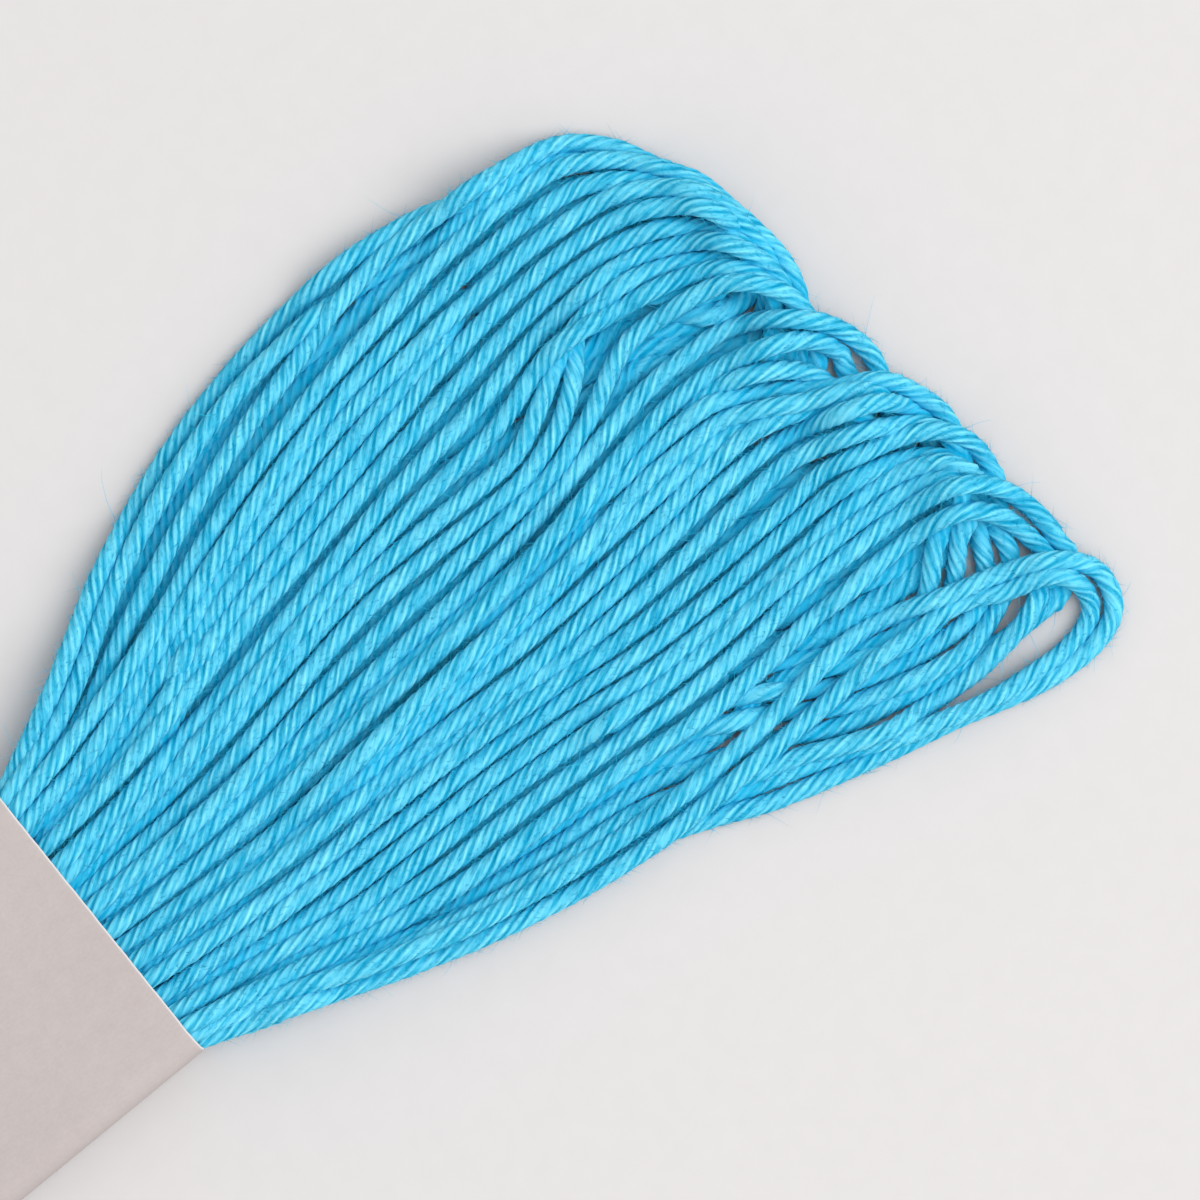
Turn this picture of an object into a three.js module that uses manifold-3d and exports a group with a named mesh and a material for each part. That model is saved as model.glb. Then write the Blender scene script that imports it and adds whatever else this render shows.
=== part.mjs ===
// A skein of thick, soft cotton thread: one length wound in flat turns, pinched at the waist by a
// paper band and fanned out at both ends, lying on a flat surface. Millimetres, +Z up.
// X runs along the skein through the band, and the origin is the middle of the footprint.
import * as THREE from 'three';
import { mergeVertices } from 'three/addons/utils/BufferGeometryUtils.js';
import Module from 'manifold-3d';

const THREAD = 0.95;          // thickness of the thread
const BAND_LENGTH = 38;       // along the skein
const BAND_WIDTH = 13.5;      // across, over the two folds
const BAND_WALL = 0.6;
const BAND_CORNER = 1.5;      // radius of the folds
const GAP = 0.3;              // between the band and the thread
const WAIST_DEPTH = 2.6;      // thread inside the band
const WAIST_STRAIGHT = 0.35;  // the turns start to spread this far past the band
const FAN_LEAN = THREE.MathUtils.degToRad(-2.2);  // each fan leans a little from the band's line

const RIDGES = 16;            // rows of thread drawn on the upper surface
const RIDGE_STEPS = 3;
const RIDGE_DEPTH = 0.24;
const EDGE_ROUND = 1.1;       // the upper surface rounds down over this distance
const EDGE_INSET = 0.35;      // the flat underside starts this far inside the outline
const EDGE_HEIGHT = THREAD / 2;

const LOOP_WIDTH = 1.28;      // the stray turn that stands out of the first fan: two strands
const LOOP_HEIGHT = 1.04;
const LOOP_STEPS = 30;
const LOOP_SIDES = 10;

// Cross sections of a fan, from the band outwards, each between a left and a right end:
// distance along the fan and across it, then the height of the top and of the underside.
const COLUMNS = ['leftAlong', 'left', 'rightAlong', 'right', 'top', 'under', 'bulge'];
const table = (rows) => rows.map((row) => Object.fromEntries(COLUMNS.map((c, i) => [c, row[i]])));

const FIRST_FAN = table([
  [0.8, 6.7, 0.8, -6.8, 3.45, 0.75, 0],
  [2, 7.7, 2, -7.6, 3.35, 0.35, 0],
  [4, 8.75, 4, -8.1, 3.2, 0, 0],
  [6, 10.1, 6, -8.7, 3.05, 0, 0],
  [8, 11.2, 8, -9.2, 2.9, 0, 0],
  [12, 12.9, 12, -10.3, 2.7, 0, 0],
  [16, 14.15, 16, -11.2, 2.5, 0, 0],
  [20, 15.15, 20, -11.7, 2.4, 0, 0],
  [24, 15.35, 24, -13.0, 2.3, 0, 0],
  [28, 14.8, 28, -14.0, 2.2, 0, 0],
  [31, 14.35, 31, -14.1, 2.15, 0, 0.1],
  [33.2, 13.8, 34, -13.8, 2.1, 0, 0.35],
  [34.6, 12.9, 36.3, -13.5, 2.05, 0, 0.7],
  [36, 11.6, 38.6, -13.0, 2.0, 0, 1],
]);
const SECOND_FAN = table([
  [0.8, 6.75, 0.8, -6.8, 3.45, 0.75, 0],
  [2, 7.4, 2, -7.8, 3.35, 0.35, 0],
  [4, 8.2, 4, -8.8, 3.2, 0, 0],
  [6, 9.0, 6, -9.8, 3.05, 0, 0],
  [8, 9.8, 8, -10.7, 2.9, 0, 0],
  [12, 11.1, 12, -12.3, 2.7, 0, 0],
  [16, 12.3, 16, -13.6, 2.5, 0, 0],
  [20, 13.3, 20, -14.6, 2.4, 0, 0],
  [24, 13.9, 24, -15.2, 2.3, 0, 0],
  [28, 13.9, 28, -15.5, 2.2, 0, 0],
  [31, 13.5, 31, -15.5, 2.15, 0, 0.1],
  [33.3, 12.9, 33.8, -15.2, 2.1, 0, 0.35],
  [35, 11.9, 36.2, -14.5, 2.05, 0, 0.7],
  [36.4, 10.6, 38.2, -13.4, 2.0, 0, 1],
]);

// The scalloped line of the turns' ends, from the left end of the last section to its right end:
// distance along the fan and across it.
const edge = (rows) => rows.map(([along, across]) => new THREE.Vector2(along, across));
const FIRST_END = edge([
  [36, 11.6], [37.4, 9], [37.9, 6], [38, 4], [37.45, 2.3], [38.3, 0.4], [38.75, -1.1],
  [38.55, -1.8], [39.15, -2.8], [39.6, -4], [39.4, -5], [39.9, -6.3], [39.65, -7.8],
  [40.05, -8.7], [40.3, -10.2], [40.1, -11.9], [38.6, -13],
]);
const SECOND_END = edge([
  [36.4, 10.6], [37.6, 8.4], [38.3, 6.2], [38, 5.2], [38.8, 3.6], [39.2, 1.8], [38.9, 0.8],
  [39.6, -0.8], [39.4, -2], [39.9, -3.4], [40.1, -5], [39.7, -6], [40.1, -7.6], [39.7, -9],
  [39.9, -10.4], [39.3, -12.2], [38.2, -13.4],
]);

// The stray turn: distance along the first fan and across it, and height of its middle.
const LOOP_ROUTE = [
  [33.4, -10.2, 1.25], [35.6, -10.8, 1.2], [37.8, -11.45, 1.15], [39.35, -12.3, 1.05],
  [40.02, -13.4, 0.85], [39.6, -14.45, 0.62], [38, -15.08, 0.54], [36, -15.15, 0.53],
  [34, -14.8, 0.53], [31.8, -14.2, 0.54], [29.5, -13.4, 0.62],
];

const ACROSS = RIDGES * RIDGE_STEPS;   // steps across the skein

// Point of a broken line at a fraction of its length.
function along(line, fraction) {
  const lengths = line.slice(1).map((p, i) => p.distanceTo(line[i]));
  let left = fraction * lengths.reduce((a, b) => a + b, 0);
  for (let i = 0; i < lengths.length; i++) {
    if (left <= lengths[i] || i === lengths.length - 1) {
      return line[i].clone().lerp(line[i + 1], Math.min(1, left / lengths[i]));
    }
    left -= lengths[i];
  }
  return line[line.length - 1].clone();
}

// A fan's place on the skein: it leans from the band's line, past the band's edge at either end.
function place(point, side) {
  const p = point.clone().rotateAround(new THREE.Vector2(), FAN_LEAN);
  return new THREE.Vector2(side * (BAND_LENGTH / 2 + p.x), side * p.y);
}

// Rows of points across one fan, from the band outwards, each row from +Y to -Y.
function fanRows(sections, end, side) {
  const ends = Array.from({ length: ACROSS + 1 }, (_, j) => along(end, j / ACROSS));
  const chord = (j) => ends[0].clone().lerp(ends[ACROSS], j / ACROSS);
  return sections.map((s, i) => {
    const left = new THREE.Vector2(s.leftAlong, s.left);
    const right = new THREE.Vector2(s.rightAlong, s.right);
    const points = ends.map((e, j) => {
      const bulge = e.clone().sub(chord(j)).multiplyScalar(s.bulge);
      return place(left.clone().lerp(right, j / ACROSS).add(bulge), side);
    });
    if (side < 0) points.reverse();
    return { points, top: s.top, under: s.under, mid: s.under + EDGE_HEIGHT + s.under,
      last: i === sections.length - 1 };
  });
}

// The straight run through the band.
function waistRow(x) {
  const half = BAND_WIDTH / 2 - BAND_WALL - GAP;
  const under = BAND_WALL + GAP;
  const points = Array.from({ length: ACROSS + 1 },
    (_, j) => new THREE.Vector2(x, half - (2 * half * j) / ACROSS));
  return { points, top: under + WAIST_DEPTH, under, mid: under + WAIST_DEPTH / 2, last: false };
}

// One closed body from rows of points: ridged upper surface, rounded rim, flat underside.
function bundle(rows) {
  const positions = [];
  const triangles = [];
  const vertex = (x, y, z) => positions.push(x, y, z) / 3 - 1;
  const K = rows.length - 1;
  const N = ACROSS;
  const rim = (k, j) => k === 0 || k === K || j === 0 || j === N;

  const upper = rows.map((row, k) => row.points.map((p, j) => {
    if (rim(k, j)) return vertex(p.x, p.y, row.mid);
    const reach = Math.min(p.distanceTo(row.points[0]), p.distanceTo(row.points[N]),
      p.distanceTo(rows[0].points[j]), p.distanceTo(rows[K].points[j]));
    const e = Math.min(1, reach / EDGE_ROUND);
    const groove = RIDGE_DEPTH * e * (0.5 + 0.5 * Math.cos((2 * Math.PI * j) / RIDGE_STEPS));
    return vertex(p.x, p.y, row.mid + (row.top - row.mid) * Math.sqrt(1 - (1 - e) ** 2) - groove);
  }));

  // the rim of the underside, drawn in from the outline
  const inset = (k, j) => {
    const p = rows[k].points[j].clone();
    const inward = new THREE.Vector2();
    if (j === 0) inward.add(rows[k].points[1].clone().sub(p).normalize());
    if (j === N) inward.add(rows[k].points[N - 1].clone().sub(p).normalize());
    if (k === 0) inward.add(rows[1].points[j].clone().sub(p).normalize());
    if (k === K) inward.add(rows[K - 1].points[j].clone().sub(p).normalize());
    p.addScaledVector(inward, EDGE_INSET);
    return vertex(p.x, p.y, rows[k].under);
  };
  const lower = rows.map((row, k) => row.points.map((_, j) => (rim(k, j) ? inset(k, j) : -1)));

  const tri = (a, b, c) => triangles.push(a, b, c);
  const quad = (a, b, c, d) => { tri(a, b, c); tri(a, c, d); };
  for (let k = 0; k < K; k++) {
    for (let j = 0; j < N; j++) {
      quad(upper[k][j], upper[k][j + 1], upper[k + 1][j + 1], upper[k + 1][j]);
    }
    quad(upper[k][0], upper[k + 1][0], lower[k + 1][0], lower[k][0]);
    quad(upper[k][N], lower[k][N], lower[k + 1][N], upper[k + 1][N]);
    if (k > 0 && k < K - 1) quad(lower[k][0], lower[k + 1][0], lower[k + 1][N], lower[k][N]);
  }
  const half = N / 2;
  for (let j = 0; j < N; j++) {
    quad(upper[K][j], upper[K][j + 1], lower[K][j + 1], lower[K][j]);
    quad(upper[0][j], lower[0][j], lower[0][j + 1], upper[0][j + 1]);
    const side = j < half ? 0 : N;
    tri(lower[K - 1][side], lower[K][j], lower[K][j + 1]);
    tri(lower[1][side], lower[0][j + 1], lower[0][j]);
  }
  tri(lower[K - 1][0], lower[K][half], lower[K - 1][N]);
  tri(lower[1][0], lower[1][N], lower[0][half]);

  const geometry = new THREE.BufferGeometry();
  geometry.setAttribute('position', new THREE.Float32BufferAttribute(positions, 3));
  geometry.setIndex(triangles);
  return geometry;
}

// The stray turn as a bent rod of oval section.
function strayTurn() {
  const route = new THREE.CatmullRomCurve3(LOOP_ROUTE.map(([a, c, z]) => {
    const p = place(new THREE.Vector2(a, c), 1);
    return new THREE.Vector3(p.x, p.y, z);
  }));
  const oval = new THREE.Shape(Array.from({ length: LOOP_SIDES }, (_, i) => {
    const turn = (2 * Math.PI * (i + 0.5)) / LOOP_SIDES;
    return new THREE.Vector2((LOOP_HEIGHT / 2) * Math.cos(turn), (LOOP_WIDTH / 2) * Math.sin(turn));
  }));
  return new THREE.ExtrudeGeometry(oval, { steps: LOOP_STEPS, extrudePath: route, bevelEnabled: false });
}

const wasm = await Module();
wasm.setup();

function solid(geometry) {
  const bare = geometry.clone();
  bare.deleteAttribute('normal');
  bare.deleteAttribute('uv');
  const merged = mergeVertices(bare, 1e-4);
  return new wasm.Manifold(new wasm.Mesh({
    numProp: 3,
    vertProperties: new Float32Array(merged.attributes.position.array),
    triVerts: new Uint32Array(merged.index.array),
  }));
}

function geometryOf(manifold) {
  const { vertProperties, triVerts } = manifold.getMesh();
  const geometry = new THREE.BufferGeometry();
  geometry.setAttribute('position', new THREE.BufferAttribute(new Float32Array(vertProperties), 3));
  geometry.setIndex(new THREE.BufferAttribute(new Uint32Array(triVerts), 1));
  geometry.computeVertexNormals();
  return geometry;
}

// The paper band: a flat sleeve with rounded folds.
function roundedOblong(path, halfWidth, low, high, radius) {
  path.moveTo(-halfWidth + radius, low);
  path.lineTo(halfWidth - radius, low);
  path.absarc(halfWidth - radius, low + radius, radius, -Math.PI / 2, 0, false);
  path.lineTo(halfWidth, high - radius);
  path.absarc(halfWidth - radius, high - radius, radius, 0, Math.PI / 2, false);
  path.lineTo(-halfWidth + radius, high);
  path.absarc(-halfWidth + radius, high - radius, radius, Math.PI / 2, Math.PI, false);
  path.lineTo(-halfWidth, low + radius);
  path.absarc(-halfWidth + radius, low + radius, radius, Math.PI, 1.5 * Math.PI, false);
  return path;
}

function sleeve() {
  const height = WAIST_DEPTH + 2 * (GAP + BAND_WALL);
  const section = roundedOblong(new THREE.Shape(), BAND_WIDTH / 2, 0, height, BAND_CORNER);
  section.holes.push(roundedOblong(new THREE.Path(), BAND_WIDTH / 2 - BAND_WALL, BAND_WALL,
    height - BAND_WALL, BAND_CORNER - BAND_WALL));
  const geometry = new THREE.ExtrudeGeometry(section,
    { depth: BAND_LENGTH, steps: 1, curveSegments: 5, bevelEnabled: false });
  const onto = new THREE.Matrix4().makeBasis(new THREE.Vector3(0, 1, 0),
    new THREE.Vector3(0, 0, 1), new THREE.Vector3(1, 0, 0));
  geometry.applyMatrix4(onto);
  geometry.translate(-BAND_LENGTH / 2, 0, 0);
  return geometry;
}

const inside = BAND_LENGTH / 2 + WAIST_STRAIGHT;
const rows = [
  ...fanRows(SECOND_FAN, SECOND_END, -1).reverse(),
  waistRow(-inside),
  waistRow(inside),
  ...fanRows(FIRST_FAN, FIRST_END, 1),
];

const skein = new THREE.Mesh(
  geometryOf(solid(bundle(rows)).add(solid(strayTurn()))),
  new THREE.MeshStandardMaterial({ color: 0x3fb2d8, roughness: 0.85, metalness: 0 }),
);
skein.name = 'skein';

const band = new THREE.Mesh(
  sleeve(),
  new THREE.MeshStandardMaterial({ color: 0xcbc2be, roughness: 0.9, metalness: 0 }),
);
band.name = 'band';

// the origin under the middle of the whole skein
const box = new THREE.Box3().setFromObject(skein).union(new THREE.Box3().setFromObject(band));
const middle = box.getCenter(new THREE.Vector3());
const part = new THREE.Group();
part.add(skein, band);
part.position.set(-middle.x, -middle.y, -box.min.z);

export default part;
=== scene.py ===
"""A flat skein of thick, soft cotton thread: one thread wound in thirty-one flat turns, held at the waist
by a paper band and fanned out at both ends. Each turn is laid out from a table, settled under its own
weight against its neighbours and the table, and then made as a tube of six twisted plies.
Lengths are in millimetres until the meshes are made."""
import math

import bpy
import numpy as np
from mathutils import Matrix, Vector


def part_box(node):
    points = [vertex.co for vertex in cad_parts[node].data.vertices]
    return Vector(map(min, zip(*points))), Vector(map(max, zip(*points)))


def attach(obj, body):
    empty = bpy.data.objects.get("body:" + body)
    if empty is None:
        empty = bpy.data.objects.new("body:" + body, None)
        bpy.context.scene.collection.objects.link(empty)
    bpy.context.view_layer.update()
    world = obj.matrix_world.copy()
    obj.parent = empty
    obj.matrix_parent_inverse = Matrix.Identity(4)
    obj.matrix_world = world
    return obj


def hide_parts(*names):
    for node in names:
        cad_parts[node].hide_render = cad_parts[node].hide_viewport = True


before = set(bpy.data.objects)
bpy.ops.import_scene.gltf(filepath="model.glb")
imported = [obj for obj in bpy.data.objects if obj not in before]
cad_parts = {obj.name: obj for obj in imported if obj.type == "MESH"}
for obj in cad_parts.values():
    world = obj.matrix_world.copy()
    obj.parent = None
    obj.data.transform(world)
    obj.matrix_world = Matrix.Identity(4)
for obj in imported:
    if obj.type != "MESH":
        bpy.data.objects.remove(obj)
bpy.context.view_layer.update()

MM = 0.001
UNIT = 0.04              # the tables of the first fan count in twenty-fifths of a millimetre

# thread
THREAD = 0.82            # across the plies, lying free
THREAD_TIGHT = 0.78      # drawn together by the band
PLIES = 6
PLY_STEPS = 3            # points across each ply: its ridge and the valley beside it
PLY_PROFILE = (1.0, 0.92, 0.92)
TWIST = 3.6              # length of one turn of the ply
RING_OUT, RING_BACK = 0.36, 0.55     # spacing of the tube's rings where the thread shows and where it lies below
STEP = 0.34              # spacing of the points while the thread settles

# band
BAND_LENGTH = 38.0
BAND_HALF = 6.75
PAPER = 0.12
LAP = 0.13               # the strip's end lies this far above its start, under the thread
FAN_LEAN = math.radians(-2.2)
ROW_PITCH = 0.67         # between the four rows of thread in the band
ROW_LOW = 2 * PAPER + 0.02 + THREAD_TIGHT / 2
ROWS = [ROW_LOW + ROW_PITCH * k for k in range(4)]
ROOM_TOP = ROWS[3] + THREAD_TIGHT / 2
BAND_HIGH = ROOM_TOP + PAPER

# First fan, from its left edge to its right. body: places across at 0, 100, 200 .. along; seen: the points
# (along, across) that follow and lie on top; under: the part of the bend that passes under the later turns;
# back: the way back, where it shows. row: 0 upper, 1 under it, in the band. order: later turns lie on
# earlier ones. low: (along, level) where a strand leaves the top (1) for the surface below (0). rest: height
# of the part that lies below. slots: whether the way back joins the even layer under the fan.
def turn(row, body, seen, under, back=(), order=None, low=(), rest=0.45, slots=True):
    return dict(row=row, body=body, seen=seen, under=under, back=list(back), order=order, low=low, rest=rest, slots=slots)


TURNS = [
    turn(1, [157, 209, 270, 317, 348, 367, 374],
         [(650, 369), (690, 362), (725, 347), (755, 325), (795, 310), (835, 290)],
         [(858, 262), (866, 232), (850, 216), (820, 228), (770, 252), (700, 260)], order=-0.5, low=((640, 1), (720, 0))),
    turn(0, [150, 188, 249, 298, 330, 346, 347],
         [(640, 340), (670, 335), (710, 337), (750, 340), (800, 335), (830, 322), (855, 298)],
         [(872, 268), (874, 240), (858, 226), (830, 240), (790, 275), (740, 300), (690, 309)], order=-1, low=((520, 1), (580, 0))),
    turn(1, [143, 168, 217, 263, 298, 327],
         [(540, 340), (580, 349), (620, 356), (660, 357), (700, 355), (740, 354), (780, 350), (820, 344), (840, 336),
          (855, 325), (872, 308), (883, 293), (892, 275), (901, 258), (912, 243), (922, 228), (927, 212), (930, 190),
          (936, 165), (941, 140), (943, 115), (941, 95), (937, 80), (930, 65)],
         [(915, 42), (895, 25), (860, 12)]),
    turn(0, [137, 161, 190, 232, 266, 290, 308],
         [(650, 317), (700, 322), (740, 325), (780, 324), (820, 320), (840, 311), (860, 299), (880, 282), (895, 265),
          (907, 247), (917, 226), (923, 203), (928, 178), (931, 150), (931, 122), (926, 95)],
         [(915, 70), (898, 48), (860, 30)]),
    turn(0, [120, 139, 176, 212, 243, 268, 284],
         [(650, 291), (700, 296), (740, 298), (780, 298), (820, 293), (840, 285), (860, 273), (880, 257), (900, 239),
          (914, 219), (920, 198)],
         [(918, 175), (905, 158), (880, 158), (840, 178), (790, 200), (700, 210)]),
    turn(1, [112, 127, 160, 198, 228, 250, 262],
         [(650, 267), (700, 270), (740, 274), (780, 272), (820, 269), (840, 266), (860, 259), (880, 247), (900, 232),
          (915, 212), (923, 190)],
         [(926, 165), (920, 142), (903, 130), (870, 138), (830, 158), (780, 178), (700, 184)]),
    turn(1, [105, 118, 148, 182, 206, 230, 247],
         [(640, 258), (675, 272), (700, 280), (740, 284), (780, 285), (815, 280), (845, 262)],
         [(866, 236), (868, 210), (850, 198), (815, 212), (770, 230), (700, 236)], order=3.5, low=((540, 1), (620, 0))),
    turn(1, [98, 110, 138, 164, 187, 210, 232],
         [(650, 240), (700, 246), (740, 248), (780, 249), (820, 246), (840, 242), (860, 235), (880, 224), (900, 209),
          (914, 191), (921, 172)],
         [(918, 148), (905, 132), (850, 136)]),
    turn(0, [88, 102, 124, 148, 167, 189, 207],
         [(650, 215), (700, 222), (740, 226), (780, 226), (820, 223), (840, 218), (860, 211), (880, 201), (895, 188),
          (908, 170), (917, 150), (920, 130)],
         [(912, 112), (890, 104), (850, 110)]),
    turn(0, [66, 79, 98, 118, 141, 162, 178],
         [(650, 188), (700, 199), (740, 203), (780, 206), (820, 203), (840, 198), (860, 190), (880, 181), (897, 168),
          (910, 152), (920, 134), (926, 114), (927, 94)],
         [(918, 68), (900, 48), (870, 30)]),
    turn(0, [54, 64, 82, 102, 122, 137, 148],
         [(640, 158), (660, 166), (700, 177), (740, 176), (780, 171), (820, 165), (840, 160), (860, 154), (880, 146),
          (897, 133), (910, 115), (916, 96)],
         [(910, 74), (896, 54), (865, 35)], order=12.5),
    turn(1, [44, 54, 70, 88, 106, 112, 115],
         [(620, 120), (640, 130), (660, 142), (680, 154), (700, 166), (715, 174), (740, 183), (770, 187), (800, 188),
          (820, 184), (840, 178), (860, 170), (880, 158), (895, 148), (905, 135), (912, 118), (914, 100)],
         [(908, 84), (890, 73), (850, 71), (790, 72)], order=9.7),
    turn(0, [28, 34, 45, 66, 85, 89, 92],
         [(620, 97), (640, 105), (660, 112), (680, 125), (700, 140), (715, 157), (725, 170), (740, 182), (765, 192),
          (800, 190)],
         [(835, 172), (852, 140), (850, 112), (830, 98), (790, 104), (740, 116), (690, 116)], order=9.5, low=((700, 1), (735, 0))),
    turn(0, [12, 16, 24, 44, 58, 66, 75],
         [(640, 82), (660, 90), (680, 97), (700, 105), (720, 117), (740, 128), (760, 137), (780, 141), (800, 140),
          (820, 138), (850, 135), (880, 127), (900, 113), (915, 95), (925, 78)],
         [(926, 52), (915, 25), (885, 0)]),
    turn(1, [2, 3, 10, 22, 31, 41, 56],
         [(650, 68), (700, 80), (740, 88), (780, 92), (820, 92), (840, 92), (860, 88), (880, 80), (900, 68), (920, 52),
          (935, 38), (946, 21), (953, 4), (956, -14), (954, -32)],
         [(942, -52), (920, -60), (885, -57), (840, -52)]),
    turn(0, [-18, -18, -13, -4, 5, 15, 31],
         [(650, 42), (700, 53), (740, 60), (780, 64), (820, 63), (850, 58), (880, 49), (900, 40), (917, 29), (927, 15)],
         [(930, 0), (927, -16), (915, -50), (888, -78), (840, -86)]),
    turn(1, [-24, -25, -20, -12, -3, 5, 14],
         [(650, 20), (700, 29), (740, 40), (780, 48), (800, 50), (820, 47), (840, 41), (860, 32), (878, 21), (892, 8),
          (901, -6), (904, -22)],
         [(902, -48), (885, -85), (850, -108)], low=((60, 1), (130, 0), (800, 0), (850, 1))),
    turn(1, [-10, -8, -4, 6, 14, 22, 28],
         [(700, 36), (740, 40), (780, 41), (800, 39), (820, 31), (840, 20), (860, 9), (880, -6), (900, -20), (920, -30),
          (940, -39), (955, -52), (965, -68), (973, -88), (978, -105), (978, -118)],
         [(972, -135), (958, -152), (930, -166), (890, -174), (840, -178)], low=((240, 1), (320, 0), (600, 0), (690, 1))),
    turn(0, [-37, -40, -40, -30, -20, -12, 0],
         [(700, 17), (740, 19), (800, 19), (820, 10), (840, 2), (860, -10), (880, -19), (900, -28), (920, -37),
          (932, -46), (938, -60)],
         [(936, -80), (930, -106), (905, -138), (850, -154)]),
    turn(1, [-44, -46, -48, -36, -28, -22, -8],
         [(700, 0), (740, 3), (780, 6), (820, 0), (850, -12)],
         [(872, -32), (884, -58), (884, -90), (865, -116), (830, -130)], order=16, low=((720, 1), (780, 0))),
    turn(1, [-50, -54, -56, -46, -40, -38, -32],
         [(700, -20), (740, -13), (780, -9), (800, -7), (820, -9), (840, -13), (860, -19), (880, -27), (895, -36)],
         [(905, -55), (906, -86), (890, -112), (850, -120)], order=17.5),
    turn(0, [-57, -61, -64, -62, -60, -61, -52],
         [(650, -46), (700, -39), (740, -34), (780, -31), (820, -31), (840, -34), (860, -38), (880, -43), (900, -49),
          (920, -55), (938, -66)],
         [(951, -79), (958, -91), (960, -105), (956, -125), (944, -152), (920, -180), (890, -198), (850, -204)]),
    turn(1, [-70, -76, -78, -76, -74, -76, -73],
         [(700, -66), (740, -60), (800, -55), (830, -54), (850, -59), (870, -64), (890, -71), (910, -78), (930, -88),
          (950, -102), (963, -117), (968, -135)],
         [(962, -155), (946, -180), (924, -206), (895, -221), (860, -223), (810, -219)]),
    turn(0, [-80, -86, -88, -86, -86, -90, -95],
         [(700, -92), (760, -89), (800, -87), (840, -83), (860, -85), (880, -90), (900, -94), (920, -99), (940, -106),
          (955, -114), (970, -127), (980, -142), (984, -160), (983, -176)],
         [(976, -192), (962, -210), (955, -228)],
         [(951, -247), (944, -267), (930, -283), (910, -294), (890, -303), (860, -312), (830, -311), (800, -305),
          (770, -298), (740, -290), (710, -277), (680, -258), (650, -240), (620, -227)],
         rest=0.85),
    turn(0, [-100, -104, -106, -107, -105, -109, -117],
         [(700, -115), (760, -110), (800, -107), (840, -106), (860, -107), (880, -110), (900, -115), (920, -122),
          (935, -130), (948, -140), (955, -155)],
         [(952, -172), (940, -190), (925, -203)],
         [(913, -217), (898, -237), (880, -254), (855, -268), (825, -274), (790, -266), (750, -251), (710, -231),
          (670, -223), (620, -229), (580, -227)], rest=0.5),
    turn(1, [-112, -120, -128, -128, -126, -130, -139],
         [(700, -137), (760, -134), (800, -131), (840, -126), (870, -126), (900, -129), (920, -134), (940, -142),
          (950, -150), (955, -162)],
         [(952, -178), (955, -195), (948, -208)],
         [(935, -224), (927, -240), (920, -256), (907, -272), (885, -287), (855, -291), (820, -289), (790, -284),
          (760, -275), (730, -264), (705, -250), (685, -236), (660, -220), (630, -207)], rest=0.6),
    turn(0, [-122, -134, -148, -148, -146, -150, -156],
         [(700, -150), (800, -143), (840, -143), (880, -145), (900, -148), (920, -152), (938, -160), (946, -172),
          (940, -186)],
         [(922, -196), (903, -203)],
         [(888, -211), (872, -228), (855, -244), (830, -257), (800, -258), (760, -244), (720, -222), (680, -200)]),
    turn(1, [-130, -147, -162, -170, -170, -174, -179],
         [(700, -172), (760, -163), (800, -163), (840, -163), (870, -163), (900, -165), (920, -168), (940, -173),
          (955, -181), (968, -192), (979, -206), (987, -223), (992, -243), (994, -263), (992, -283)],
         [(984, -300), (970, -311), (955, -319)],
         [(940, -325), (915, -328), (890, -327), (870, -324), (840, -321), (800, -316), (770, -311), (740, -306),
          (700, -295), (650, -270), (600, -253), (560, -240), (530, -230), (500, -224), (450, -221), (400, -221),
          (350, -215), (300, -208), (250, -203), (200, -195), (150, -187), (100, -176)], slots=False),
    turn(0, [-138, -157, -178, -192, -195, -198, -205],
         [(700, -200), (740, -194), (800, -193), (820, -190), (850, -189), (880, -189), (900, -190), (920, -194),
          (938, -201), (952, -213), (962, -227), (968, -243), (972, -260), (975, -278), (973, -294)],
         [(965, -305), (950, -311)],
         [(940, -315), (920, -323), (900, -328), (880, -331), (850, -335), (820, -335), (800, -334), (770, -332),
          (740, -329), (700, -315), (650, -294), (600, -280), (570, -268), (540, -256), (505, -245), (460, -239), (400, -237),
          (300, -224), (200, -203), (100, -178)], rest=0.9, slots=False),
    turn(0, [-148, -172, -206, -233, -247, -254, -253],
         [(700, -241), (740, -234), (780, -234), (800, -237), (830, -244), (860, -254), (890, -262), (920, -270),
          (950, -280), (975, -292), (995, -308), (1005, -325)],
         [(1007, -340), (1002, -360), (990, -375)],
         [(970, -383), (945, -387), (920, -387), (890, -384), (860, -377), (800, -361), (740, -349), (700, -340),
          (600, -314), (560, -297), (540, -290), (520, -283), (500, -276), (400, -264), (300, -244), (200, -216),
          (100, -186)], order=30, slots=False),
    turn(1, [-157, -188, -222, -250, -269, -278, -275],
         [(700, -270), (780, -265), (820, -268), (860, -268), (890, -275), (920, -290), (940, -294), (960, -299),
          (972, -308), (981, -321), (984, -336)],
         [(980, -352), (968, -363), (948, -370)],
         [(920, -373), (890, -371), (860, -369), (830, -364), (800, -356), (740, -340), (700, -322), (600, -292),
          (500, -258), (400, -244), (300, -222), (200, -194), (100, -168)], order=29, rest=0.8, slots=False),
]
COUNT = len(TURNS)
LOW = 0.45               # height of a strand lying on the surface

# outline of the first fan: along and across, left edge and right edge
FIRST_LEFT = [(0, 165), (50, 193), (100, 218), (150, 253), (200, 280), (300, 323), (400, 354), (500, 381), (560, 385),
              (650, 378), (700, 370), (750, 362), (800, 356), (850, 336)]
FIRST_RIGHT = [(0, -166), (50, -190), (100, -202), (200, -230), (300, -258), (400, -280), (500, -291), (550, -304),
               (600, -325), (650, -338), (700, -352), (750, -362), (800, -372), (850, -383), (900, -393), (950, -396)]

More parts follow.
